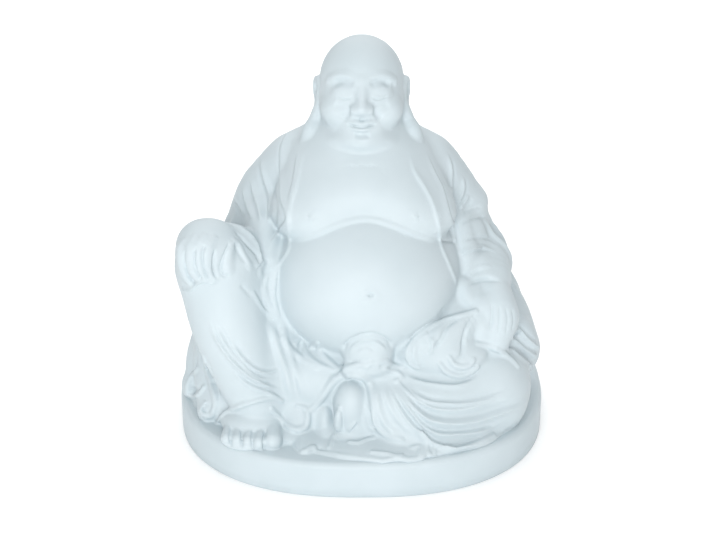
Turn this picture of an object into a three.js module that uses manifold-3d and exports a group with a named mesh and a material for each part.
// A laughing budai seated on a low rounded base, cast in one piece.
// The origin is the middle of the base's underside, +Z is up and the figure faces -Y.
//
// The figure is modelled as clay. Balls and limbs are joined into soft masses, thin rolls
// and folds are laid on them along lines drawn in a view, and the skin of the whole is
// turned into facets. The figure is then joined to the base, which is a plain loft.
import * as THREE from 'three';
import Module from 'manifold-3d';

// Driving sizes, in millimetres
const FIGURE_HEIGHT = 358;
const BASE_WIDTH = 368;
const BASE_DEPTH = 348;
const BASE_HEIGHT = 36;
const BASE_EDGE_ROUND = 6;
const BASE_SQUARENESS = 2.4;

// How finely the clay is turned into facets
const CELL = 3.6;
const FIGURE_FACETS = 9500;
const BASE_SIDES = 96;
const ROUND_STEPS = 3;
const SINK = 8;

// The clay is drawn in its own millimetres: 358 tall, standing at 36 above the drawing's zero.
const DRAWN_HEIGHT = 358;
const DRAWN_GROUND = 36;
const scale = FIGURE_HEIGHT / DRAWN_HEIGHT;

// Views that lines are drawn in: a sheet across the view, through the figure's middle
const VIEW_DISTANCE = 1500;
const VIEW_MIDDLE = [0, 0, 155];
const FRONT = [0, 25];

// Vectors as arrays of three numbers

function plus(a, b, t = 1) {
  return [a[0] + b[0] * t, a[1] + b[1] * t, a[2] + b[2] * t];
}

function minus(a, b) {
  return [a[0] - b[0], a[1] - b[1], a[2] - b[2]];
}

function dot(a, b) {
  return a[0] * b[0] + a[1] * b[1] + a[2] * b[2];
}

function cross(a, b) {
  return [a[1] * b[2] - a[2] * b[1], a[2] * b[0] - a[0] * b[2], a[0] * b[1] - a[1] * b[0]];
}

function unit(a) {
  const length = Math.hypot(a[0], a[1], a[2]) || 1;
  return [a[0] / length, a[1] / length, a[2] / length];
}

function axes(turn) {
  // the three unit axes after a turn about X, then Y, then Z, in degrees
  const [x, y, z] = turn.map(THREE.MathUtils.degToRad);
  const matrix = new THREE.Matrix4().makeRotationFromEuler(new THREE.Euler(x, y, z, 'ZYX'));
  const columns = [new THREE.Vector3(), new THREE.Vector3(), new THREE.Vector3()];
  matrix.extractBasis(...columns);
  return columns.map((column) => column.toArray());
}

function spline(points, steps) {
  // a smooth line through points of any width, with steps between each pair
  if (points.length < 3 || steps < 2) return points;
  const last = points.length - 1;
  const beyond = (a, b) => a.map((value, i) => 2 * value - b[i]);
  const all = [beyond(points[0], points[1]), ...points, beyond(points[last], points[last - 1])];
  const line = [];
  for (let i = 0; i < last; i++) {
    const [a, b, c, d] = all.slice(i, i + 4);
    for (let step = 0; step < steps; step++) {
      const t = step / steps;
      line.push(b.map((value, n) => 0.5 * (2 * value + (c[n] - a[n]) * t
        + (2 * a[n] - 5 * value + 4 * c[n] - d[n]) * t * t
        + (3 * value - a[n] - 3 * c[n] + d[n]) * t ** 3)));
    }
  }
  line.push(points[last]);
  return line;
}

// Clay: each shape has a box, a blend width and its distance from any point

function soft(a, b, blend) {
  const near = blend > 0 ? Math.max(blend - Math.abs(a - b), 0) / blend : 0;
  return Math.min(a, b) - near * near * blend * 0.25;
}

function gap(shape, x, y, z) {
  const { low, high } = shape;
  const dx = Math.max(low[0] - x, x - high[0], 0);
  const dy = Math.max(low[1] - y, y - high[1], 0);
  const dz = Math.max(low[2] - z, z - high[2], 0);
  return Math.sqrt(dx * dx + dy * dy + dz * dz);
}

function ball(centre, radii, blend = 0, turn = [0, 0, 0]) {
  const [X, Y, Z] = axes(turn);
  const [rx, ry, rz] = radii;
  const reach = [0, 1, 2].map((i) => Math.hypot(X[i] * rx, Y[i] * ry, Z[i] * rz));
  const [cx, cy, cz] = centre;
  const at = (x, y, z) => {
    const px = x - cx;
    const py = y - cy;
    const pz = z - cz;
    const a = (px * X[0] + py * X[1] + pz * X[2]) / rx;
    const b = (px * Y[0] + py * Y[1] + pz * Y[2]) / ry;
    const c = (px * Z[0] + py * Z[1] + pz * Z[2]) / rz;
    const size = Math.sqrt(a * a + b * b + c * c);
    const slope = Math.sqrt((a / rx) ** 2 + (b / ry) ** 2 + (c / rz) ** 2);
    return size * (size - 1) / Math.max(slope, 1e-6);
  };
  return { low: minus(centre, reach), high: plus(centre, reach), blend, at };
}

function limb(points, blend = 0, steps = 4) {
  // points are [x, y, z, radius]
  const line = spline(points, steps);
  const low = [0, 1, 2].map((i) => Math.min(...line.map((p) => p[i] - p[3])));
  const high = [0, 1, 2].map((i) => Math.max(...line.map((p) => p[i] + p[3])));
  const parts = line.slice(1).map((to, i) => {
    const along = minus(to, line[i]);
    return { from: line[i], along, square: Math.max(dot(along, along), 1e-9), growth: to[3] - line[i][3] };
  });
  const at = (x, y, z) => {
    let best = Infinity;
    for (const { from, along, square, growth } of parts) {
      const px = x - from[0];
      const py = y - from[1];
      const pz = z - from[2];
      const t = Math.min(Math.max((px * along[0] + py * along[1] + pz * along[2]) / square, 0), 1);
      const ex = px - t * along[0];
      const ey = py - t * along[1];
      const ez = pz - t * along[2];
      best = Math.min(best, Math.sqrt(ex * ex + ey * ey + ez * ez) - from[3] - growth * t);
    }
    return best;
  };
  return { low, high, blend, at };
}

function distance(shapes, x, y, z) {
  let d = 1000;
  for (const shape of shapes) {
    if (gap(shape, x, y, z) < d + shape.blend) d = soft(d, shape.at(x, y, z), shape.blend);
  }
  return d;
}

function join(blend, shapes) {
  const slack = Math.max(...shapes.map((shape) => shape.blend)) / 4;
  return {
    low: [0, 1, 2].map((i) => Math.min(...shapes.map((shape) => shape.low[i])) - slack),
    high: [0, 1, 2].map((i) => Math.max(...shapes.map((shape) => shape.high[i])) + slack),
    blend,
    at: (x, y, z) => distance(shapes, x, y, z),
  };
}

function placed(shape, middle, turn) {
  const [X, Y, Z] = axes(turn);
  const corners = [];
  for (const x of [shape.low[0], shape.high[0]]) {
    for (const y of [shape.low[1], shape.high[1]]) {
      for (const z of [shape.low[2], shape.high[2]]) {
        corners.push(plus(plus(plus(middle, X, x), Y, y), Z, z));
      }
    }
  }
  return {
    low: [0, 1, 2].map((i) => Math.min(...corners.map((corner) => corner[i]))),
    high: [0, 1, 2].map((i) => Math.max(...corners.map((corner) => corner[i]))),
    blend: shape.blend,
    at: (x, y, z) => {
      const p = [x - middle[0], y - middle[1], z - middle[2]];
      return shape.at(dot(p, X), dot(p, Y), dot(p, Z));
    },
  };
}

// Lines drawn in a view, each point [right, up] or [right, up, radius] on the sheet

function roll(blend, lift, points) {
  return { points, blend, lift, view: FRONT, steps: 3 };
}

function fold(kind, width, height, points, fade = [0.25, 0.25]) {
  return { points, kind, width, height, fade, view: FRONT, steps: 6 };
}

function seen(view, lines) {
  return lines.map((line) => ({ ...line, view }));
}

function together(lists) {
  return lists.flat();
}

function laid(line, shapes) {
  // the line's points where the view's rays meet the clay, each with the outward direction
  const [turn, tilt] = line.view.map(THREE.MathUtils.degToRad);
  const back = [Math.sin(turn) * Math.cos(tilt), -Math.cos(turn) * Math.cos(tilt), Math.sin(tilt)];
  const right = [Math.cos(turn), Math.sin(turn), 0];
  const up = cross(back, right);
  const eye = plus(VIEW_MIDDLE, back, VIEW_DISTANCE);
  const spots = [];
  for (const [u, v, radius] of spline(line.points, line.steps)) {
    const ray = unit(minus(plus(plus(VIEW_MIDDLE, right, u), up, v), eye));
    let along = VIEW_DISTANCE - 330;
    let d = 1;
    for (let step = 0; step < 120 && Math.abs(d) > 0.005 && along < VIEW_DISTANCE + 400; step++) {
      d = distance(shapes, ...plus(eye, ray, along));
      along += 0.8 * d;
    }
    if (Math.abs(d) > 1) continue;
    const point = plus(eye, ray, along);
    const slope = [[1, 0, 0], [0, 1, 0], [0, 0, 1]].map(
      (step) => distance(shapes, ...plus(point, step)) - distance(shapes, ...minus(point, step)));
    spots.push({ point, outward: unit(slope), radius });
  }
  return spots;
}

function laidRoll(line, shapes) {
  const spots = laid(line, shapes);
  const points = spots.map(({ point, outward, radius }) => [
    ...plus(point, outward, line.lift * radius),
    radius,
  ]);
  return limb(points, line.blend, 1);
}

// A fold is kept in short parts, each with its own box, so that far points are passed over quickly
const PART = 6;
const ROOM = 5;

function laidFold(line, shapes) {
  const spots = laid(line, shapes);
  const margin = line.width + ROOM;
  const box = (some) => ({
    low: [0, 1, 2].map((i) => Math.min(...some.map(({ point }) => point[i])) - margin),
    high: [0, 1, 2].map((i) => Math.max(...some.map(({ point }) => point[i])) + margin),
  });
  const rows = [];
  let length = 0;
  for (let i = 1; i < spots.length; i++) {
    const from = spots[i - 1].point;
    const along = minus(spots[i].point, from);
    const up = unit(plus(spots[i].outward, spots[i - 1].outward));
    const size = Math.hypot(...along);
    rows.push({
      from,
      along,
      up,
      square: Math.max(size * size, 1e-9),
      side: cross(up, along),
      start: length,
      size,
    });
    length += size;
  }
  const parts = [];
  for (let i = 0; i < rows.length; i += PART) {
    parts.push({ ...box(spots.slice(i, i + PART + 1)), rows: rows.slice(i, i + PART) });
  }
  return { ...line, ...box(spots), parts, length };
}

// How a fold rises across its width, from -1 at its right edge to 1 at its left edge

function rise(s, from, to) {
  const t = Math.min(Math.max((s - from) / (to - from), 0), 1);
  return t * t * (3 - 2 * t);
}

function hump(s, middle, half) {
  return Math.max(1 - ((s - middle) / half) ** 2, 0) ** 2;
}

const SECTIONS = {
  ridge: (s) => hump(s, 0, 1),
  groove: (s) => -hump(s, 0, 1),
  cut: (s) => -((1 - Math.abs(s)) ** 1.5),
  lap: (s) => rise(s, -0.2, 0.14) * (1 - Math.abs(s)) ** 2 * 1.2,
  pleat: (s) => rise(s, -0.3, 0.15) * Math.min((1 - s) / 0.85, 1) ** 2 - 0.35 * hump(s, -0.5, 0.5),
};

function outside({ low, high }, x, y, z) {
  return x < low[0] || y < low[1] || z < low[2] || x > high[0] || y > high[1] || z > high[2];
}

function raised(fold, x, y, z) {
  if (outside(fold, x, y, z)) return 0;
  let best = (fold.width + ROOM) ** 2;
  let s = 1;
  let along = 0;
  for (const part of fold.parts) {
    if (outside(part, x, y, z)) continue;
    for (const { from, along: way, up, square, side, start, size } of part.rows) {
      const px = x - from[0];
      const py = y - from[1];
      const pz = z - from[2];
      const t = Math.min(Math.max((px * way[0] + py * way[1] + pz * way[2]) / square, 0), 1);
      const ex = px - t * way[0];
      const ey = py - t * way[1];
      const ez = pz - t * way[2];
      const apart = ex * ex + ey * ey + ez * ez;
      if (apart < best) {
        best = apart;
        // only the way along the skin counts, not the height above it
        const above = ex * up[0] + ey * up[1] + ez * up[2];
        const flat = Math.sqrt(Math.max(apart - above * above, 0)) / fold.width;
        s = ex * side[0] + ey * side[1] + ez * side[2] < 0 ? -flat : flat;
        along = (start + size * t) / fold.length;
      }
    }
  }
  if (Math.abs(s) >= 1) return 0;
  const [first, last] = fold.fade;
  const taper = rise(along, 0, first || 1e-6) * rise(1 - along, 0, last || 1e-6);
  return fold.height * taper * SECTIONS[fold.kind](s);
}

// The robe

function robe() {
  return join(4, [
    ball([0, 32, 185], [108, 78, 118], 20),
    ball([0, 40, 84], [144, 104, 68], 50),
    limb([[-60, 12, 258, 36], [0, 26, 276, 42], [58, 12, 258, 36]], 16),
    ball([0, 30, 314], [32, 20, 24], 12),
    limb([[-60, 12, 258, 34], [-84, 13, 232, 37], [-98, 8, 198, 37]], 12),
    limb([[58, 12, 258, 34], [78, 13, 232, 37], [95, 10, 198, 38], [106, 6, 170, 35]], 12),
    ball([100, 8, 228], [23, 22, 13], 10),
    limb([[112, 4, 160, 32], [136, -6, 112, 33], [148, -18, 78, 33]], 18),
    limb([[-104, 4, 160, 32], [-126, 2, 100, 34], [-134, -4, 62, 34]], 24),
    ball([0, 46, 40], [156, 118, 16], 20),
    limb([[-92, -22, 224, 19], [-92, -52, 204, 19], [-90, -68, 180, 18], [-88, -72, 154, 16],
      [-82, -70, 130, 15]], 12),
    limb([[92, -22, 214, 16], [97, -36, 190, 16], [100, -46, 170, 14], [100, -54, 152, 12]], 10),
  ]);
}


// Chest, belly and forearms

function body() {
  return join(5, [
    ball([0, -4, 300], [42, 38, 40], 10),
    ball([0, -2, 272], [72, 56, 46], 20),
    ball([0, -20, 258], [74, 60, 38], 20),
    ball([-42, -43, 237], [44, 43, 30], 26),
    ball([46, -43, 237], [44, 43, 30], 26),
    ball([3, -38, 172], [94, 92, 83], 5),
    ball([6, -108, 121], [23, 15, 23], 4),
  ]);
}

function forearms() {
  return join(4, [
    limb([[-98, 8, 188, 34], [-108, -36, 197, 27], [-122, -68, 214, 23]], 8),
    ball([-113, -20, 226], [9, 12, 11], 8),
    limb([[108, 8, 174, 34], [119, -12, 168, 28], [124, -38, 162, 22]], 8),
    ball([110, -42, 140], [22, 24, 26], 8),
    ball([107, -56, 160], [13, 16, 12], 8),
  ]);
}


// Legs and lap

function raisedLeg() {
  return join(6, [
    limb([[-60, 10, 90, 46], [-105, -35, 150, 44], [-134, -72, 192, 39]], 6),
    limb([[-136, -74, 195, 39], [-128, -84, 140, 38], [-114, -92, 90, 36], [-106, -96, 62, 30]], 10),
    limb([[-104, -40, 130, 34], [-100, -50, 60, 40]], 20),
    limb([[-84, -66, 140, 20], [-76, -84, 98, 22], [-66, -96, 60, 17]], 14),
  ]);
}

function crossedLeg() {
  return join(6, [
    limb([[55, -10, 88, 46], [95, -45, 82, 44], [122, -76, 70, 42]], 6),
    limb([[122, -84, 64, 39], [70, -102, 60, 38], [22, -106, 62, 34]], 10),
    ball([120, -30, 60], [46, 60, 40], 20),
    limb([[126, -86, 50, 30], [76, -112, 50, 27], [30, -114, 48, 25]], 12),
  ]);
}

function lap() {
  return join(8, [
    ball([-40, -72, 78], [52, 44, 42], 14),
    ball([12, -76, 62], [44, 36, 38], 10),
    ball([20, -88, 84], [60, 34, 32], 14),
    ball([84, -58, 124], [30, 36, 40], 14),
  ]);
}

function clothOnBase() {
  return join(4, [
    ball([22, -120, 37], [74, 49, 8], 8),
    ball([84, -108, 37], [52, 42, 7], 8),
    ball([-52, -118, 37], [16, 36, 6], 6),
  ]);
}

function tail() {
  return join(6, [
    limb([[-146, -6, 100, 20], [-156, -20, 72, 20], [-160, -34, 50, 18]], 14),
    ball([-169, -38, 44], [12, 14, 15], 5),
    limb([[-150, -30, 96, 16], [-150, -52, 70, 16], [-148, -72, 50, 15]], 10),
    ball([-138, -68, 46], [16, 26, 18], 8),
    ball([-150, -82, 42], [10, 10, 9], 4),
    ball([-152, -48, 38], [17, 26, 10], 6),
  ]);
}


// Bag, hands and feet

function bag() {
  return join(6, [
    ball([66, -92, 112], [36, 24, 22], 10),
    limb([[80, -88, 120, 20], [106, -76, 136, 12]], 12),
    ball([92, -92, 104], [30, 22, 16], 12, [0, -20, 0]),
  ]);
}

function hands() {
  return join(5, [
    ball([-145, -90, 222], [27, 28, 25], 10),
    limb([[-120, -72, 218, 21], [-134, -86, 226, 20]], 8),
    limb([[123, -44, 160, 18], [129, -62, 150, 18.5], [131, -75, 134, 17], [129, -82, 121, 14]], 5),
    ball([131, -72, 138], [20, 16, 24], 6),
    ball([102, -76, 156], [7, 7, 8], 5),
    ball([114, -70, 146], [14, 14, 17], 6),
    limb([[122, -76, 110, 14], [142, -54, 104, 16]], 10),
  ]);
}

function feet() {
  const out = [
    ball([-104, -106, 46], [32, 28, 18], 6),
    ball([-103, -128, 38], [31, 18, 7], 4),
    ball([-62, -106, 43], [17, 22, 14], 6),
    limb([[-84, -120, 47, 10], [-83, -140, 43, 9.6]], 3),
    ball([-33, -125, 39], [9, 9, 8], 4),
    ball([-46, -106, 48], [16, 14, 22], 10),
    ball([-10, -118, 68], [18, 19, 27], 3),
    limb([[-22, -124, 66, 5], [-23, -130, 50, 5.5]], 2),
  ];
  for (let i = 0; i < 4; i++) {
    out.push(limb([[-126 + 10.4 * i, -118, 46, 6],
      [-128 + 10.4 * i, -134 - 2.4 * i, 42, 6.4 + 0.2 * i]], 2));
  }
  for (let i = 0; i < 3; i++) {
    out.push(ball([-26 - 1.5 * i, -130 - 3 * i, 45 - 3 * i], [3.6, 4.5, 3], 1.5));
  }
  return join(4, out);
}


// The head

function head() {
  return placed(join(4, [
    ball([0, 4, 8], [40, 46, 43], 10),
    ball([0, -6, -19], [38.5, 38, 33], 14),
    ball([0, -31, -44], [16, 13, 10], 9),
    ball([0, -14, -47], [34, 26, 15], 10),
    ball([0, -33, -31], [17, 9, 10], 8),
    limb([[0, -38.6, 10, 3], [0, -42, 0, 3.4], [0, -46.2, -10, 4.2], [0, -48.2, -16, 5.4]], 6),
    faceHalf(-1),
    faceHalf(1),
    lips(),
    ear(-1),
    ear(1),
  ]), [0, -2, 345], [-15, 0, 0]);
}

function faceHalf(s) {
  return join(6, [
    ball([s * 22, -24, -18], [16, 15.5, 15], 9),
    ball([s * 16.5, -32.3, -1.6], [10, 7.5, 7.6], 2.4),
    limb([[s * 8, -37, -3.2, 1], [s * 12, -38.8, -5.4, 1.3], [s * 17, -38.6, -6.2, 1.4],
      [s * 22, -36, -5.2, 1.2],
      [s * 26, -32.6, -3, 0.8]], 1.2),
    ball([s * 16.5, -33, -8.8], [9, 5.4, 3.6], 3),
    limb([[s * 5, -38.4, 8.5, 2.6], [s * 13, -37, 13.2, 2.8], [s * 22, -33, 13.2, 2.6],
      [s * 30, -26.5, 9, 2]], 4),
    ball([s * 6.8, -43.4, -17.6], [4.4, 5.4, 4], 2),
  ]);
}

function lips() {
  return join(3, [
    limb([[-14, -39.2, -29, 0.8], [-6, -43.3, -28.9, 2.2], [0, -44.2, -30, 1.9], [6, -43.3, -28.9, 2.2],
      [14, -39.2, -29, 0.8]], 2),
    limb([[-11.5, -39.6, -32, 1], [-5, -43, -34, 2.6], [0, -43.7, -34.7, 3], [5, -43, -34, 2.6],
      [11.5, -39.6, -32, 1]], 0.8),
  ]);
}

function ear(s) {
  return join(3, [
    limb([[s * 39, -5, 4, 2.6], [s * 41, 1, 9, 3], [s * 43, 9, 8, 3], [s * 43.5, 12, -2, 3],
      [s * 42, 7, -11, 3],
      [s * 42, 1, -20, 4.5], [s * 45, 0, -31, 6.5], [s * 50, -3, -42, 9]], 3),
    ball([s * 38, 8, -2], [4, 8, 10], 3),
    limb([[s * 39, -2, 4, 3], [s * 39.5, 0, -4, 3.4], [s * 40, -2, -12, 3.6], [s * 42, -1, -24, 5]], 3),
  ]);
}

// Lines of the face

function onFace(x, z) {
  return [1.067 * x, 1.067 * (z + 183)];
}

function faceSide(s) {
  return [
    fold("cut", 2, 1.1, [onFace(s * 8, -4.6), onFace(s * 12, -7), onFace(s * 17, -7.8),
      onFace(s * 25, -5)]),
    fold("groove", 6, 1.8, [onFace(s * 7, 3.4), onFace(s * 12, 7.6), onFace(s * 19, 8),
      onFace(s * 27, 4)]),
    fold("groove", 6, 1, [onFace(s * 9, -13), onFace(s * 17, -15), onFace(s * 26, -11)]),
    fold("groove", 5, 1.6, [onFace(s * 11, -16), onFace(s * 14, -21), onFace(s * 18, -27)]),
  ];
}

function faceLines() {
  return seen([0, 15], together([faceSide(-1), faceSide(1), [
    fold("cut", 2.4, 1.3, [onFace(-14.5, -29.6), onFace(-6, -31.8), onFace(0, -32.5), onFace(6, -31.8),
      onFace(14.5, -29.6)], [0.15, 0.15]),
    fold("groove", 3, 0.9, [onFace(0, -23), onFace(0, -27.5)], [0.2, 0.2]),
    fold("groove", 4.5, 1.5, [onFace(-8, -39), onFace(0, -40.4), onFace(8, -39)]),
  ]]))
}


// Fingers, waist and bag rims

function fingers() {
  return [
    roll(2, -0.5, [[-172, 32, 3], [-180, 24, 5.5], [-182, 12, 6.2], [-178, -2, 6], [-172, -14, 5]]),
    roll(2, -0.5, [[-166, 35, 3], [-172, 25, 6], [-174, 12, 6.6], [-170, -1, 6.2], [-164, -11, 5]]),
    roll(2, -0.5, [[-158, 37, 3], [-162, 27, 6], [-164, 13, 6.6], [-162, 0, 6.2], [-156, -9, 5]]),
    roll(2, -0.5, [[-148, 37, 3], [-152, 27, 6], [-154, 14, 6.6], [-152, 1, 6.2], [-148, -8, 5]]),
    roll(5, -0.5, [[-122, 30, 4], [-128, 21, 6.5], [-134, 10, 6.6], [-138, -1, 4.6]]),
  ];
}

function waist() {
  return [
    roll(2, -0.3, [[-18, -83, 2.4], [-16, -74, 3.4], [-6, -67, 3.8], [8, -65, 3.8], [22, -69, 3.4],
      [30, -79, 2.4]]),
    roll(2, -0.4, [[-10, -82, 2.4], [-2, -74, 3], [10, -74, 3], [20, -82, 2.4]]),
    roll(2, -0.2, [[-20, -101, 3], [-14, -97, 4], [-4, -94, 4], [4, -94, 3]]),
    roll(2, -0.2, [[6, -92, 3.4], [12, -95, 4], [18, -92, 3.4]]),
    roll(2, -0.2, [[16, -98, 3], [26, -94, 3.6], [36, -96, 2.8]]),
    roll(2, -0.2, [[28, -99, 3], [36, -104, 3.2], [36, -112, 2.4]]),
    roll(2, -0.1, [[-64, -72, 3], [-60, -70, 3.4], [-58, -80, 3.6], [-50, -89, 3.6], [-40, -96, 3],
      [-26, -100, 2.4]]),
    roll(2, -0.1, [[-48, -76, 3], [-44, -74, 3.4], [-40, -82, 3.6], [-32, -91, 3.4], [-24, -98, 2.6]]),
    roll(2, -0.3, [[-80, -68, 3], [-72, -78, 3.6], [-60, -88, 3.4], [-44, -98, 2.6]]),
  ];
}

function bagRims() {
  return [
    roll(2, 0, [[112, -42, 3], [94, -48, 3.4], [76, -54, 3.4], [62, -60, 3.4], [50, -68, 3.8],
      [44, -78, 3.8],
      [46, -89, 3.4], [52, -97, 2.6]]),
    roll(2, -0.2, [[60, -66, 2.6], [52, -74, 3], [52, -84, 3], [56, -94, 3], [70, -99, 2.4]]),
    roll(2, 0, [[88, -87, 2.6], [92, -94, 3.6], [100, -97, 3.8], [108, -94, 3], [112, -89, 2.4]]),
    roll(2, 0, [[78, -93, 2.6], [84, -101, 3.8], [96, -106, 4.2], [106, -105, 3.8], [114, -97, 2.6]]),
  ];
}


// Hems

function hems() {
  return [
    roll(3, 0.1, [[-50, -139, 3], [-44, -133, 3.4], [-38, -125, 3.8], [-32, -116, 4],
      [-26, -109, 4.4], [-16, -105, 4.4],
      [-4, -105, 4.2], [6, -111, 4], [10, -122, 4], [12, -136, 3.8], [12, -148, 3.4], [16, -158, 3],
      [26, -165, 3], [40, -168, 2.6]]),
    roll(2, 0.1, [[-62, -182, 2.4], [-56, -181, 3.4], [-50, -177, 3], [-48, -185, 3],
      [-40, -190, 3.8], [-30, -186, 3.4],
      [-22, -186, 3], [-18, -192, 3], [-6, -195, 3], [10, -194, 3], [26, -190, 2.8], [38, -186, 2.4]]),
    roll(2, 0.1, [[14, -182, 2.4], [30, -185, 3], [42, -189, 3.2], [54, -191, 3.4], [60, -186, 3.4],
      [58, -177, 3.4],
      [52, -173, 3], [36, -175, 3], [24, -176, 2.4]]),
    roll(2, 0.1, [[60, -166, 3], [66, -174, 3.6], [66, -184, 3.4], [72, -188, 3], [72, -178, 2.8]]),
    roll(2, 0.1, [[74, -186, 2.6], [86, -181, 3.2], [100, -179, 3.2], [116, -173, 3], [132, -165, 2.6]]),
    roll(2, 0.1, [[-16, -162, 2.4], [-12, -172, 3], [-2, -173, 3], [8, -168, 3], [14, -171, 2.4]]),
    roll(2, 0, [[-144, -151, 2.6], [-136, -144, 3.2], [-122, -137, 3.2], [-106, -132, 3.2],
      [-92, -128, 3], [-82, -130, 2.6]]),
    roll(2, 0, [[-92, -140, 2.6], [-84, -148, 3.2], [-74, -157, 3.6], [-64, -161, 4.4],
      [-56, -155, 4.4], [-54, -144, 4.2],
      [-58, -137, 4], [-66, -138, 3]]),
    roll(2, -0.2, [[-158, -90, 2.4], [-154, -104, 3], [-148, -118, 3.6], [-146, -132, 4],
      [-148, -143, 4], [-156, -145, 3.4],
      [-160, -138, 3], [-156, -131, 2.4]]),
    roll(2, -0.3, [[-164, -98, 2.4], [-170, -107, 3], [-174, -116, 3.4], [-170, -126, 3.2],
      [-162, -125, 2.8], [-156, -117, 2.4]]),
  ];
}


// Collars

function collarFolds() {
  return [
    fold("lap", 12, 3, [[-72, 142], [-78, 132], [-82, 120], [-82, 90], [-82, 70], [-76, 53],
      [-82, 43], [-92, 27],
      [-96, 18]], [0.05, 0.1]),
    fold("cut", 3.4, 2.4, [[-72, 142], [-78, 132], [-82, 120], [-82, 90], [-82, 70], [-76, 53], [-82, 43],
      [-92, 27], [-96, 18]], [0.05, 0.1]),
    fold("lap", 11, 2.6, [[-80, -52], [-86, -30], [-86, -14], [-82, 4], [-72, 22], [-72, 44], [-70, 66],
      [-64, 86], [-60, 108], [-54, 125]], [0.1, 0.2]),
    fold("lap", 11, 2.6, [[48, 118], [52, 98], [62, 82], [70, 66], [76, 46], [78, 26], [86, 6],
      [96, -18]], [0.2, 0.1]),
    fold("lap", 10, 2.6, [[96, 24], [94, 39], [88, 60], [82, 82], [74, 98], [66, 118]], [0.05, 0.2]),
    fold("cut", 3.4, 2.2, [[96, 24], [94, 39], [88, 60], [82, 82], [74, 98], [66, 118]], [0.05, 0.2]),
    fold("cut", 3, 1.8, [[78, 29], [86, 29], [94, 28]], [0.1, 0.1]),
    fold("pleat", 7, 1.8, [[-64, 120], [-68, 90], [-74, 65]]),
    fold("ridge", 5, 1.6, [[88, 18], [92, 4], [98, -12]]),
  ];
}

// Sleeves

function leftSleeveFolds() {
  return [
    fold("pleat", 9, 3, [[-104, 112], [-98, 94], [-94, 78], [-92, 62], [-94, 42]]),
    fold("pleat", 9, 3, [[-114, 96], [-108, 78], [-104, 62], [-100, 46]]),
    fold("pleat", 8, 2.4, [[-120, 86], [-116, 70], [-110, 52]]),
    fold("pleat", 7, 2.4, [[-130, 76], [-124, 66], [-118, 56]]),
    fold("groove", 6, 1.6, [[-88, 80], [-86, 60], [-88, 42]]),
    fold("lap", 9, 3.6, [[-104, -2], [-102, 10], [-106, 22], [-116, 34], [-128, 43], [-144, 49]],
      [0.1, 0.2]),
    fold("groove", 6, 2.2, [[-132, 44], [-122, 33], [-112, 23]]),
    fold("ridge", 6, 2.2, [[-124, 30], [-120, 18], [-112, 6], [-108, -2]]),
    fold("cut", 5, 2.6, [[-128, 34], [-124, 20], [-126, 6]]),
    fold("ridge", 6, 2.6, [[-104, 8], [-106, -2], [-112, -4]], [0.2, 0.3]),
    fold("cut", 5, 2.6, [[-122, -14], [-114, -23], [-110, -27]]),
    fold("pleat", 7, 2.6, [[-88, -44], [-98, -41], [-106, -30], [-112, -19]]),
    fold("cut", 5, 2.6, [[-90, 22], [-92, 8], [-98, -6], [-100, -18]]),
    fold("ridge", 6, 2.6, [[-94, 2], [-100, -12], [-98, -28], [-92, -42]]),
    fold("cut", 5, 2.4, [[-88, -12], [-90, -28], [-86, -42]]),
  ];
}

function rightSleeveFolds() {
  return [
    fold("pleat", 8, 2.4, [[88, 74], [90, 86], [90, 102], [86, 118]]),
    fold("pleat", 8, 2.6, [[96, 66], [102, 78], [102, 94]]),
    fold("pleat", 7, 2.6, [[100, 62], [110, 71], [116, 83]]),
    fold("pleat", 7, 2.8, [[96, 49], [104, 58], [114, 61], [126, 62]]),
    fold("pleat", 8, 3, [[96, 40], [104, 48], [116, 52], [130, 51]]),
    fold("groove", 6, 1.6, [[98, 34], [104, 42], [116, 44]]),
    fold("pleat", 8, 3, [[98, 25], [108, 32], [122, 34], [136, 29]]),
    fold("lap", 9, 4.4, [[144, 0], [142, 8], [134, 16], [122, 19], [112, 17], [100, 8]], [0.05, 0.05]),
    fold("cut", 5, 2.4, [[148, -9], [142, -2], [132, 2], [122, 2], [112, -1], [104, -9]], [0.1, 0.1]),
    fold("ridge", 5, 2, [[150, -14], [142, -6], [132, -3], [122, -3], [112, -7], [104, -13]], [0.1, 0.1]),
    fold("lap", 7, 3, [[150, -20], [142, -13], [132, -11], [122, -11], [112, -14], [106, -19]],
      [0.05, 0.05]),
    fold("cut", 5, 3.4, [[158, -60], [166, -71], [176, -80]], [0.1, 0.3]),
    fold("cut", 5, 3.4, [[150, -70], [160, -82], [170, -92], [174, -96]], [0.1, 0.3]),
    fold("cut", 4, 2.6, [[154, -56], [148, -66], [148, -75]], [0.1, 0.3]),
    fold("pleat", 7, 2.6, [[158, -97], [150, -88], [138, -82], [124, -75], [116, -74]], [0.2, 0.2]),
  ];
}

// Folds of the legs

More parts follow.
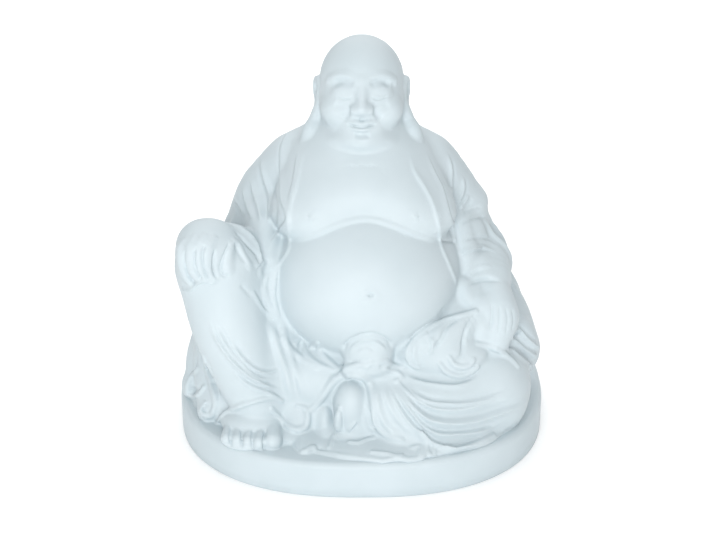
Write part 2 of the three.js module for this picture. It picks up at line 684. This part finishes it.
function raisedLegFolds() {
  return [
    fold("pleat", 7, 2.4, [[-80, -97], [-94, -102], [-106, -99], [-116, -91], [-126, -79], [-132, -68]]),
    fold("pleat", 7, 2.8, [[-80, -108], [-94, -109], [-108, -104], [-118, -95], [-130, -82],
      [-140, -66], [-148, -48]]),
    fold("pleat", 8, 3.6, [[-78, -121], [-92, -116], [-106, -109], [-118, -101], [-132, -86],
      [-144, -68], [-154, -48]]),
    fold("pleat", 8, 2.8, [[-78, -132], [-90, -123], [-106, -117], [-118, -110], [-130, -98]]),
    fold("ridge", 8, 3.4, [[-94, -48], [-88, -66], [-82, -84], [-76, -100], [-72, -116], [-68, -134]]),
    fold("cut", 5, 2.2, [[-90, -56], [-84, -76], [-78, -94]]),
    fold("ridge", 7, 3, [[-82, -48], [-76, -70], [-70, -92], [-62, -112], [-56, -132]]),
    fold("cut", 7, 4, [[-170, -50], [-164, -64], [-158, -78], [-150, -93], [-144, -108],
      [-136, -121]], [0.1, 0.2]),
    fold("cut", 5, 3, [[-152, -94], [-148, -108], [-144, -121], [-140, -132]]),
    fold("cut", 5, 2.6, [[-160, -82], [-158, -96], [-156, -108]]),
    fold("cut", 4, 2.4, [[-170, -113], [-168, -119], [-162, -118], [-158, -112]], [0.2, 0.3]),
    fold("cut", 4, 2.6, [[-154, -134], [-158, -139], [-156, -147]], [0.2, 0.3]),
  ];
}

function crossedLegFolds() {
  return [
    fold("pleat", 7, 2.2, [[118, -104], [108, -111], [94, -115], [76, -114], [58, -111], [42, -104]]),
    fold("pleat", 7, 2.4, [[146, -116], [134, -123], [118, -130], [100, -134], [84, -134], [68, -131],
      [54, -124],
      [42, -111]]),
    fold("pleat", 7, 2.4, [[138, -126], [122, -134], [104, -139], [86, -140], [70, -138], [56, -131],
      [42, -117],
      [32, -105]]),
    fold("pleat", 9, 4.4, [[164, -134], [150, -139], [134, -144], [118, -149], [100, -152],
      [82, -152], [66, -148],
      [54, -139], [42, -124], [32, -110]]),
    fold("pleat", 8, 3.4, [[146, -149], [130, -157], [114, -161], [96, -163], [78, -162], [64, -156],
      [52, -144],
      [38, -126], [28, -110]]),
    fold("pleat", 8, 3, [[132, -164], [116, -170], [102, -175], [90, -176], [78, -171], [64, -164],
      [48, -150],
      [34, -130], [24, -111]]),
    fold("ridge", 6, 2.4, [[18, -110], [16, -126], [18, -142], [26, -157], [40, -166]]),
    fold("ridge", 6, 2.6, [[22, -110], [24, -126], [32, -142], [44, -157], [58, -166]]),
    fold("cut", 5, 2.4, [[14, -116], [14, -132], [16, -146]]),
    fold("cut", 5, 3.2, [[6, -138], [8, -148], [10, -156], [16, -161]]),
    fold("cut", 6, 3.6, [[144, -82], [154, -91], [162, -101], [166, -114], [166, -126]], [0.1, 0.2]),
    fold("ridge", 6, 2, [[-10, -158], [-4, -152], [0, -147]]),
    fold("cut", 4, 3, [[-26, -139], [-30, -146], [-30, -154], [-24, -160]], [0.1, 0.2]),
  ];
}

// Small lines

function smallFolds() {
  return [
    fold("cut", 6, 3.8, [[100, -48], [88, -56], [80, -67], [70, -79]]),
    fold("cut", 5, 2.6, [[108, -54], [102, -61], [100, -74], [96, -84]]),
    fold("cut", 5, 2.4, [[-22, -90], [-20, -96], [-20, -103]], [0.1, 0.3]),
    fold("ridge", 6, 0.8, [[4, -23], [10, -22], [14, -26], [10, -30], [4, -27]], [0, 0]),
    fold("cut", 3.6, 3.4, [[6, -26], [10, -25], [12, -26]], [0.2, 0.2]),
    fold("ridge", 5, 1.2, [[52, 52], [56, 52]], [0, 0]),
    fold("ridge", 5, 1.2, [[-52, 52], [-48, 52]], [0, 0]),
    fold("cut", 3, 2, [[128, -34], [130, -50], [126, -68]], [0.2, 0.2]),
    fold("cut", 3, 2, [[136, -35], [138, -50], [136, -70]], [0.2, 0.2]),
    fold("cut", 3, 2, [[144, -36], [146, -50], [144, -70]], [0.2, 0.2]),
    fold("cut", 3, 2.2, [[-172, 26], [-178, 14], [-174, 0], [-168, -14]], [0.2, 0.1]),
    fold("cut", 3, 2.2, [[-164, 30], [-168, 14], [-166, 0], [-160, -12]], [0.2, 0.1]),
    fold("cut", 3, 2.2, [[-154, 31], [-160, 16], [-158, 2], [-154, -10]], [0.2, 0.1]),
    fold("cut", 4, 2.6, [[-144, 24], [-148, 13], [-148, 0], [-144, -10]], [0.2, 0.2]),
  ];
}

// Back and sides

function backFolds() {
  const out = [];
  for (let i = 0; i < 7; i++) {
    const x = -84 + 28 * i;
    out.push(fold("ridge", 9, 3, [[0.35 * x, 92], [0.7 * x, 20], [x, -60],
      [1.25 * x, -118 + 0.004 * x * x]]));
    out.push(fold("groove", 8, 2, [[0.4 * x + 8, 60], [0.8 * x + 12, -10], [1.1 * x + 13, -80]]));
  }
  return seen([180, 15], out);
}

function napeFolds() {
  return seen([180, 30], [
    fold("lap", 12, 4, [[58, 112], [40, 126], [0, 134], [-40, 126], [-58, 112]], [0.1, 0.1]),
    fold("groove", 8, 2.4, [[66, 88], [40, 104], [0, 110], [-40, 104], [-66, 88]]),
  ]);
}

function sideFolds() {
  const out = [];
  for (let i = 0; i < 4; i++) {
    out.push(seen([90, 15], [fold("pleat", 9, 3, [[-10 + 16 * i, 40 - 6 * i], [-14 + 18 * i, -20],
      [-20 + 22 * i, -84]])]))
    out.push(seen([-90, 15], [fold("pleat", 9, 3, [[10 - 16 * i, 40 - 6 * i], [14 - 18 * i, -20],
      [16 - 22 * i, -84]])]))
  }
  return together(out);
}

// Everything in order

function masses() {
  return [robe(), body(), forearms(), clothOnBase(), lap(), raisedLeg(), crossedLeg(), bag(), hands(), feet(),
    tail(), head()]
}

function rolls() {
  return together([fingers(), waist(), bagRims(), hems()]);
}

function strokes() {
  return together([collarFolds(), leftSleeveFolds(), rightSleeveFolds(), raisedLegFolds(), crossedLegFolds(),
    smallFolds(), faceLines(), backFolds(), napeFolds(), sideFolds()]);
}
// The finished clay, with the box that holds it and its distance from any point of the real model
const HIGHEST_FOLD = 8;

function clay() {
  const bulk = masses();
  const solid = [...bulk, ...rolls().map((line) => laidRoll(line, bulk))];
  const folds = strokes().map((line) => laidFold(line, solid)).filter((fold) => fold.parts.length);
  const floor = BASE_HEIGHT - SINK;
  const at = (x, y, z) => {
    const p = [x / scale, y / scale, (z - BASE_HEIGHT) / scale + DRAWN_GROUND];
    let d = distance(solid, ...p);
    if (Math.abs(d) < HIGHEST_FOLD) {
      for (const fold of folds) d -= raised(fold, ...p);
    }
    return Math.max(d * scale, floor - z);
  };
  const real = ([x, y, z]) => [x * scale, y * scale, (z - DRAWN_GROUND) * scale + BASE_HEIGHT];
  const low = real([0, 1, 2].map((i) => Math.min(...solid.map((shape) => shape.low[i] - HIGHEST_FOLD))));
  const high = real([0, 1, 2].map((i) => Math.max(...solid.map((shape) => shape.high[i] + HIGHEST_FOLD))));
  return { low: [low[0], low[1], floor - CELL * 1.37], high, at };
}

// Facets: each cell near the skin is split into six tetrahedra, and the skin is cut from those

const CORNER_STEPS = [0, 1, 2, 3, 4, 5, 6, 7].map((corner) => [corner & 1, corner >> 1 & 1, corner >> 2 & 1]);
const AXIS_ORDERS = [[0, 1, 2], [1, 2, 0], [2, 0, 1], [0, 2, 1], [2, 1, 0], [1, 0, 2]];
const TETRAHEDRA = AXIS_ORDERS.map(([a, b], i) => {
  const one = 1 << a;
  const two = one | 1 << b;
  return i < 3 ? [0, one, two, 7] : [0, two, one, 7];
});
// for each set of corners inside, the corners in an order that keeps the facets facing outward
const CORNER_ORDERS = {
  1: [0, 1, 2, 3], 2: [1, 0, 3, 2], 4: [2, 0, 1, 3], 8: [3, 0, 2, 1],
  3: [0, 1, 2, 3], 5: [0, 2, 3, 1], 9: [0, 3, 1, 2], 6: [1, 2, 0, 3], 10: [1, 3, 2, 0], 12: [2, 3, 0, 1],
  14: [0, 1, 2, 3], 13: [1, 0, 3, 2], 11: [2, 0, 1, 3], 7: [3, 0, 2, 1],
};

function skin(field, low, high, cell) {
  const block = 5;
  const blocks = [0, 1, 2].map((i) => Math.ceil((high[i] - low[i]) / (cell * block)));
  const nodes = blocks.map((count) => count * block + 1);
  const values = new Float32Array(nodes[0] * nodes[1] * nodes[2]).fill(NaN);
  const index = (i, j, k) => (k * nodes[1] + j) * nodes[0] + i;
  const value = (i, j, k) => {
    const n = index(i, j, k);
    if (Number.isNaN(values[n])) {
      values[n] = field(low[0] + i * cell, low[1] + j * cell, low[2] + k * cell) || 1e-6;
    }
    return values[n];
  };
  const points = [];
  const facets = [];
  const made = new Map();
  const crossing = (i, j, k, a, b) => {
    // the point of the skin on the edge between two corners of the cell at i, j, k
    const from = a & b;
    const to = a | b;
    const [fi, fj, fk] = CORNER_STEPS[from];
    const [ti, tj, tk] = CORNER_STEPS[to];
    const key = index(i + fi, j + fj, k + fk) * 8 + (from ^ to);
    if (!made.has(key)) {
      const start = value(i + fi, j + fj, k + fk);
      const end = value(i + ti, j + tj, k + tk);
      const t = Math.min(Math.max(start / (start - end), 0.05), 0.95);
      made.set(key, points.length);
      points.push([low[0] + (i + fi + (ti - fi) * t) * cell, low[1] + (j + fj + (tj - fj) * t) * cell,
        low[2] + (k + fk + (tk - fk) * t) * cell]);
    }
    return made.get(key);
  };
  const cut = (i, j, k) => {
    const d = CORNER_STEPS.map(([di, dj, dk]) => value(i + di, j + dj, k + dk));
    if (d.every((number) => number > 0) || d.every((number) => number < 0)) return;
    for (const corners of TETRAHEDRA) {
      const mask = corners.reduce((sum, corner, n) => sum + (d[corner] < 0 ? 1 << n : 0), 0);
      const order = CORNER_ORDERS[mask];
      if (!order) continue;
      const [a, b, c, e] = order.map((n) => corners[n]);
      const edge = (from, to) => crossing(i, j, k, from, to);
      const count = [0, 1, 2, 3].filter((n) => mask & 1 << n).length;
      if (count === 1) facets.push([edge(a, b), edge(a, c), edge(a, e)]);
      if (count === 3) facets.push([edge(a, b), edge(a, e), edge(a, c)]);
      if (count === 2) {
        facets.push([edge(a, c), edge(a, e), edge(b, e)]);
        facets.push([edge(a, c), edge(b, e), edge(b, c)]);
      }
    }
  };
  const size = cell * block;
  for (let k = 0; k < blocks[2]; k++) {
    for (let j = 0; j < blocks[1]; j++) {
      for (let i = 0; i < blocks[0]; i++) {
        const middle = [i, j, k].map((n, axis) => low[axis] + (n + 0.5) * size);
        if (Math.abs(field(...middle)) > size * 0.87 + 6) continue;
        for (let n = 0; n < block ** 3; n++) {
          cut(
            i * block + n % block,
            j * block + Math.floor(n / block) % block,
            k * block + Math.floor(n / block ** 2),
          );
        }
      }
    }
  }
  return { points, facets };
}

// Only the largest closed skin is kept: a hollow left inside the clay is filled

function largest({ points, facets }) {
  const parent = points.map((point, n) => n);
  const root = (n) => {
    let top = n;
    while (parent[top] !== top) top = parent[top];
    while (parent[n] !== top) [parent[n], n] = [top, parent[n]];
    return top;
  };
  for (const [a, b, c] of facets) {
    parent[root(b)] = root(a);
    parent[root(c)] = root(a);
  }
  const counts = new Map();
  for (const [a] of facets) counts.set(root(a), (counts.get(root(a)) ?? 0) + 1);
  const [kept] = [...counts].reduce((best, item) => (item[1] > best[1] ? item : best));
  return { points, facets: facets.filter(([a]) => root(a) === kept) };
}

// Thinning: the edge whose loss changes the form least is closed first, down to a number of facets

function thinned({ points, facets }, target) {
  const around = points.map(() => []);
  facets.forEach((facet, n) => facet.forEach((point) => around[point].push(n)));

  // each point's error is a quadratic form of its place, ten numbers from the planes around it
  const errors = new Float64Array(points.length * 10);
  const addPlane = (point, a, b, c, d, weight) => {
    const terms = [a * a, a * b, a * c, a * d, b * b, b * c, b * d, c * c, c * d, d * d];
    for (let n = 0; n < 10; n++) errors[point * 10 + n] += terms[n] * weight;
  };
  for (const facet of facets) {
    const [a, b, c] = facet.map((point) => points[point]);
    const normal = cross(minus(b, a), minus(c, a));
    const area = Math.hypot(...normal);
    const [x, y, z] = unit(normal);
    for (const point of facet) {
      addPlane(point, x, y, z, -(x * a[0] + y * a[1] + z * a[2]), area);
      const hold = area * 0.002;
      addPlane(point, 1, 0, 0, -points[point][0], hold);
      addPlane(point, 0, 1, 0, -points[point][1], hold);
      addPlane(point, 0, 0, 1, -points[point][2], hold);
    }
  }
  const e = new Float64Array(10);
  const best = (a, b) => {
    // the place with the least error for both points, and that error
    for (let n = 0; n < 10; n++) e[n] = errors[a * 10 + n] + errors[b * 10 + n];
    const [xx, xy, xz, xd, yy, yz, yd, zz, zd, dd] = e;
    const c0 = yy * zz - yz * yz;
    const c1 = xz * yz - xy * zz;
    const c2 = xy * yz - xz * yy;
    const size = xx * c0 + xy * c1 + xz * c2;
    const x = -(c0 * xd + c1 * yd + c2 * zd) / size;
    const y = -(c1 * xd + (xx * zz - xz * xz) * yd + (xy * xz - xx * yz) * zd) / size;
    const z = -(c2 * xd + (xy * xz - xx * yz) * yd + (xx * yy - xy * xy) * zd) / size;
    return { place: [x, y, z], cost: xd * x + yd * y + zd * z + dd };
  };

  const heap = [];
  const stamps = new Int32Array(points.length);
  const push = (a, b) => {
    const item = { ...best(a, b), a, b, stamp: stamps[a] + stamps[b] };
    let n = heap.length;
    heap.push(item);
    while (n > 0) {
      const parent = n - 1 >> 1;
      if (heap[parent].cost <= item.cost) break;
      heap[n] = heap[parent];
      n = parent;
    }
    heap[n] = item;
  };
  const pop = () => {
    const top = heap[0];
    const item = heap.pop();
    if (heap.length === 0) return top;
    let n = 0;
    for (;;) {
      let child = 2 * n + 1;
      if (child >= heap.length) break;
      if (child + 1 < heap.length && heap[child + 1].cost < heap[child].cost) child += 1;
      if (heap[child].cost >= item.cost) break;
      heap[n] = heap[child];
      n = child;
    }
    heap[n] = item;
    return top;
  };
  const neighbours = (point) => {
    const found = new Set();
    for (const n of around[point]) for (const other of facets[n]) found.add(other);
    found.delete(point);
    return found;
  };
  const turnsOver = (moved, other, place) => around[moved].some((n) => {
    if (facets[n].includes(other)) return false;
    const [a, b, c] = facets[n].map((point) => points[point]);
    const [d, f, g] = facets[n].map((point) => (point === moved ? place : points[point]));
    const before = cross(minus(b, a), minus(c, a));
    const after = cross(minus(f, d), minus(g, d));
    return dot(before, after) < 0.45 * Math.sqrt(dot(before, before) * dot(after, after));
  });

  for (const [a, b, c] of facets) {
    if (a < b) push(a, b);
    if (b < c) push(b, c);
    if (c < a) push(c, a);
  }
  let left = facets.length;
  while (left > target && heap.length > 0) {
    const { a, b, place, stamp } = pop();
    if (!around[a].length || !around[b].length || stamp !== stamps[a] + stamps[b]) continue;
    const ring = neighbours(a);
    if (!ring.has(b)) continue;
    const shared = [...neighbours(b)].filter((point) => ring.has(point));
    if (shared.length !== 2 || turnsOver(a, b, place) || turnsOver(b, a, place)) continue;
    for (const n of around[b]) {
      if (facets[n].includes(a)) {
        for (const point of facets[n]) {
          if (point !== b) around[point] = around[point].filter((other) => other !== n);
        }
        facets[n] = null;
        left -= 1;
      } else {
        facets[n] = facets[n].map((point) => (point === b ? a : point));
        around[a].push(n);
      }
    }
    around[b] = [];
    points[a] = place;
    for (let n = 0; n < 10; n++) errors[a * 10 + n] += errors[b * 10 + n];
    stamps[a] += 1;
    for (const point of neighbours(a)) push(Math.min(a, point), Math.max(a, point));
  }
  return { points, facets: facets.filter((facet) => facet) };
}

function figureSkin() {
  const { low, high, at } = clay();
  return thinned(largest(skin(at, low, high, CELL)), FIGURE_FACETS);
}

// The base: rings of its plan, the top edge rounded, closed above and below

function baseSkin() {
  const rings = [[0, 0], [0, BASE_HEIGHT - BASE_EDGE_ROUND]];
  for (let i = 1; i <= ROUND_STEPS; i++) {
    const turn = i / ROUND_STEPS * Math.PI / 2;
    rings.push([
      BASE_EDGE_ROUND * (1 - Math.cos(turn)),
      BASE_HEIGHT - BASE_EDGE_ROUND * (1 - Math.sin(turn)),
    ]);
  }
  const bulge = (number) => Math.sign(number) * Math.abs(number) ** (2 / BASE_SQUARENESS);
  const points = [];
  const facets = [];
  for (const [inset, height] of rings) {
    for (let i = 0; i < BASE_SIDES; i++) {
      const turn = i / BASE_SIDES * 2 * Math.PI;
      points.push([
        (BASE_WIDTH / 2 - inset) * bulge(Math.cos(turn)),
        (BASE_DEPTH / 2 - inset) * bulge(Math.sin(turn)),
        height,
      ]);
    }
  }
  const under = points.push([0, 0, 0]) - 1;
  const over = points.push([0, 0, BASE_HEIGHT]) - 1;
  const lastRing = (rings.length - 1) * BASE_SIDES;
  for (let i = 0; i < BASE_SIDES; i++) {
    const next = (i + 1) % BASE_SIDES;
    facets.push([under, next, i], [over, lastRing + i, lastRing + next]);
    for (let row = 0; row < lastRing; row += BASE_SIDES) {
      facets.push([row + i, row + next, row + BASE_SIDES + next]);
      facets.push([row + i, row + BASE_SIDES + next, row + BASE_SIDES + i]);
    }
  }
  return { points, facets };
}

const solids = await Module();
solids.setup();

function solid({ points, facets }) {
  const mesh = new solids.Mesh({
    numProp: 3,
    vertProperties: Float32Array.from(points.flat()),
    triVerts: Uint32Array.from(facets.flat()),
  });
  mesh.merge();
  return new solids.Manifold(mesh);
}

function geometry(body) {
  const mesh = body.getMesh();
  const points = [];
  const facets = [];
  for (let n = 0; n < mesh.vertProperties.length; n += 3) {
    points.push([...mesh.vertProperties.slice(n, n + 3)]);
  }
  for (let n = 0; n < mesh.triVerts.length; n += 3) {
    facets.push([...mesh.triVerts.slice(n, n + 3)]);
  }
  const whole = largest({ points, facets });
  const result = new THREE.BufferGeometry();
  result.setAttribute('position', new THREE.Float32BufferAttribute(whole.points.flat(), 3));
  result.setIndex(whole.facets.flat());
  result.computeVertexNormals();
  return result;
}

const plaster = new THREE.MeshStandardMaterial({ color: '#e3e9eb', roughness: 0.62, metalness: 0 });
const budai = new THREE.Mesh(geometry(solid(baseSkin()).add(solid(figureSkin()))), plaster);
budai.name = 'budai_figure';

const group = new THREE.Group();
group.add(budai);

export default group;
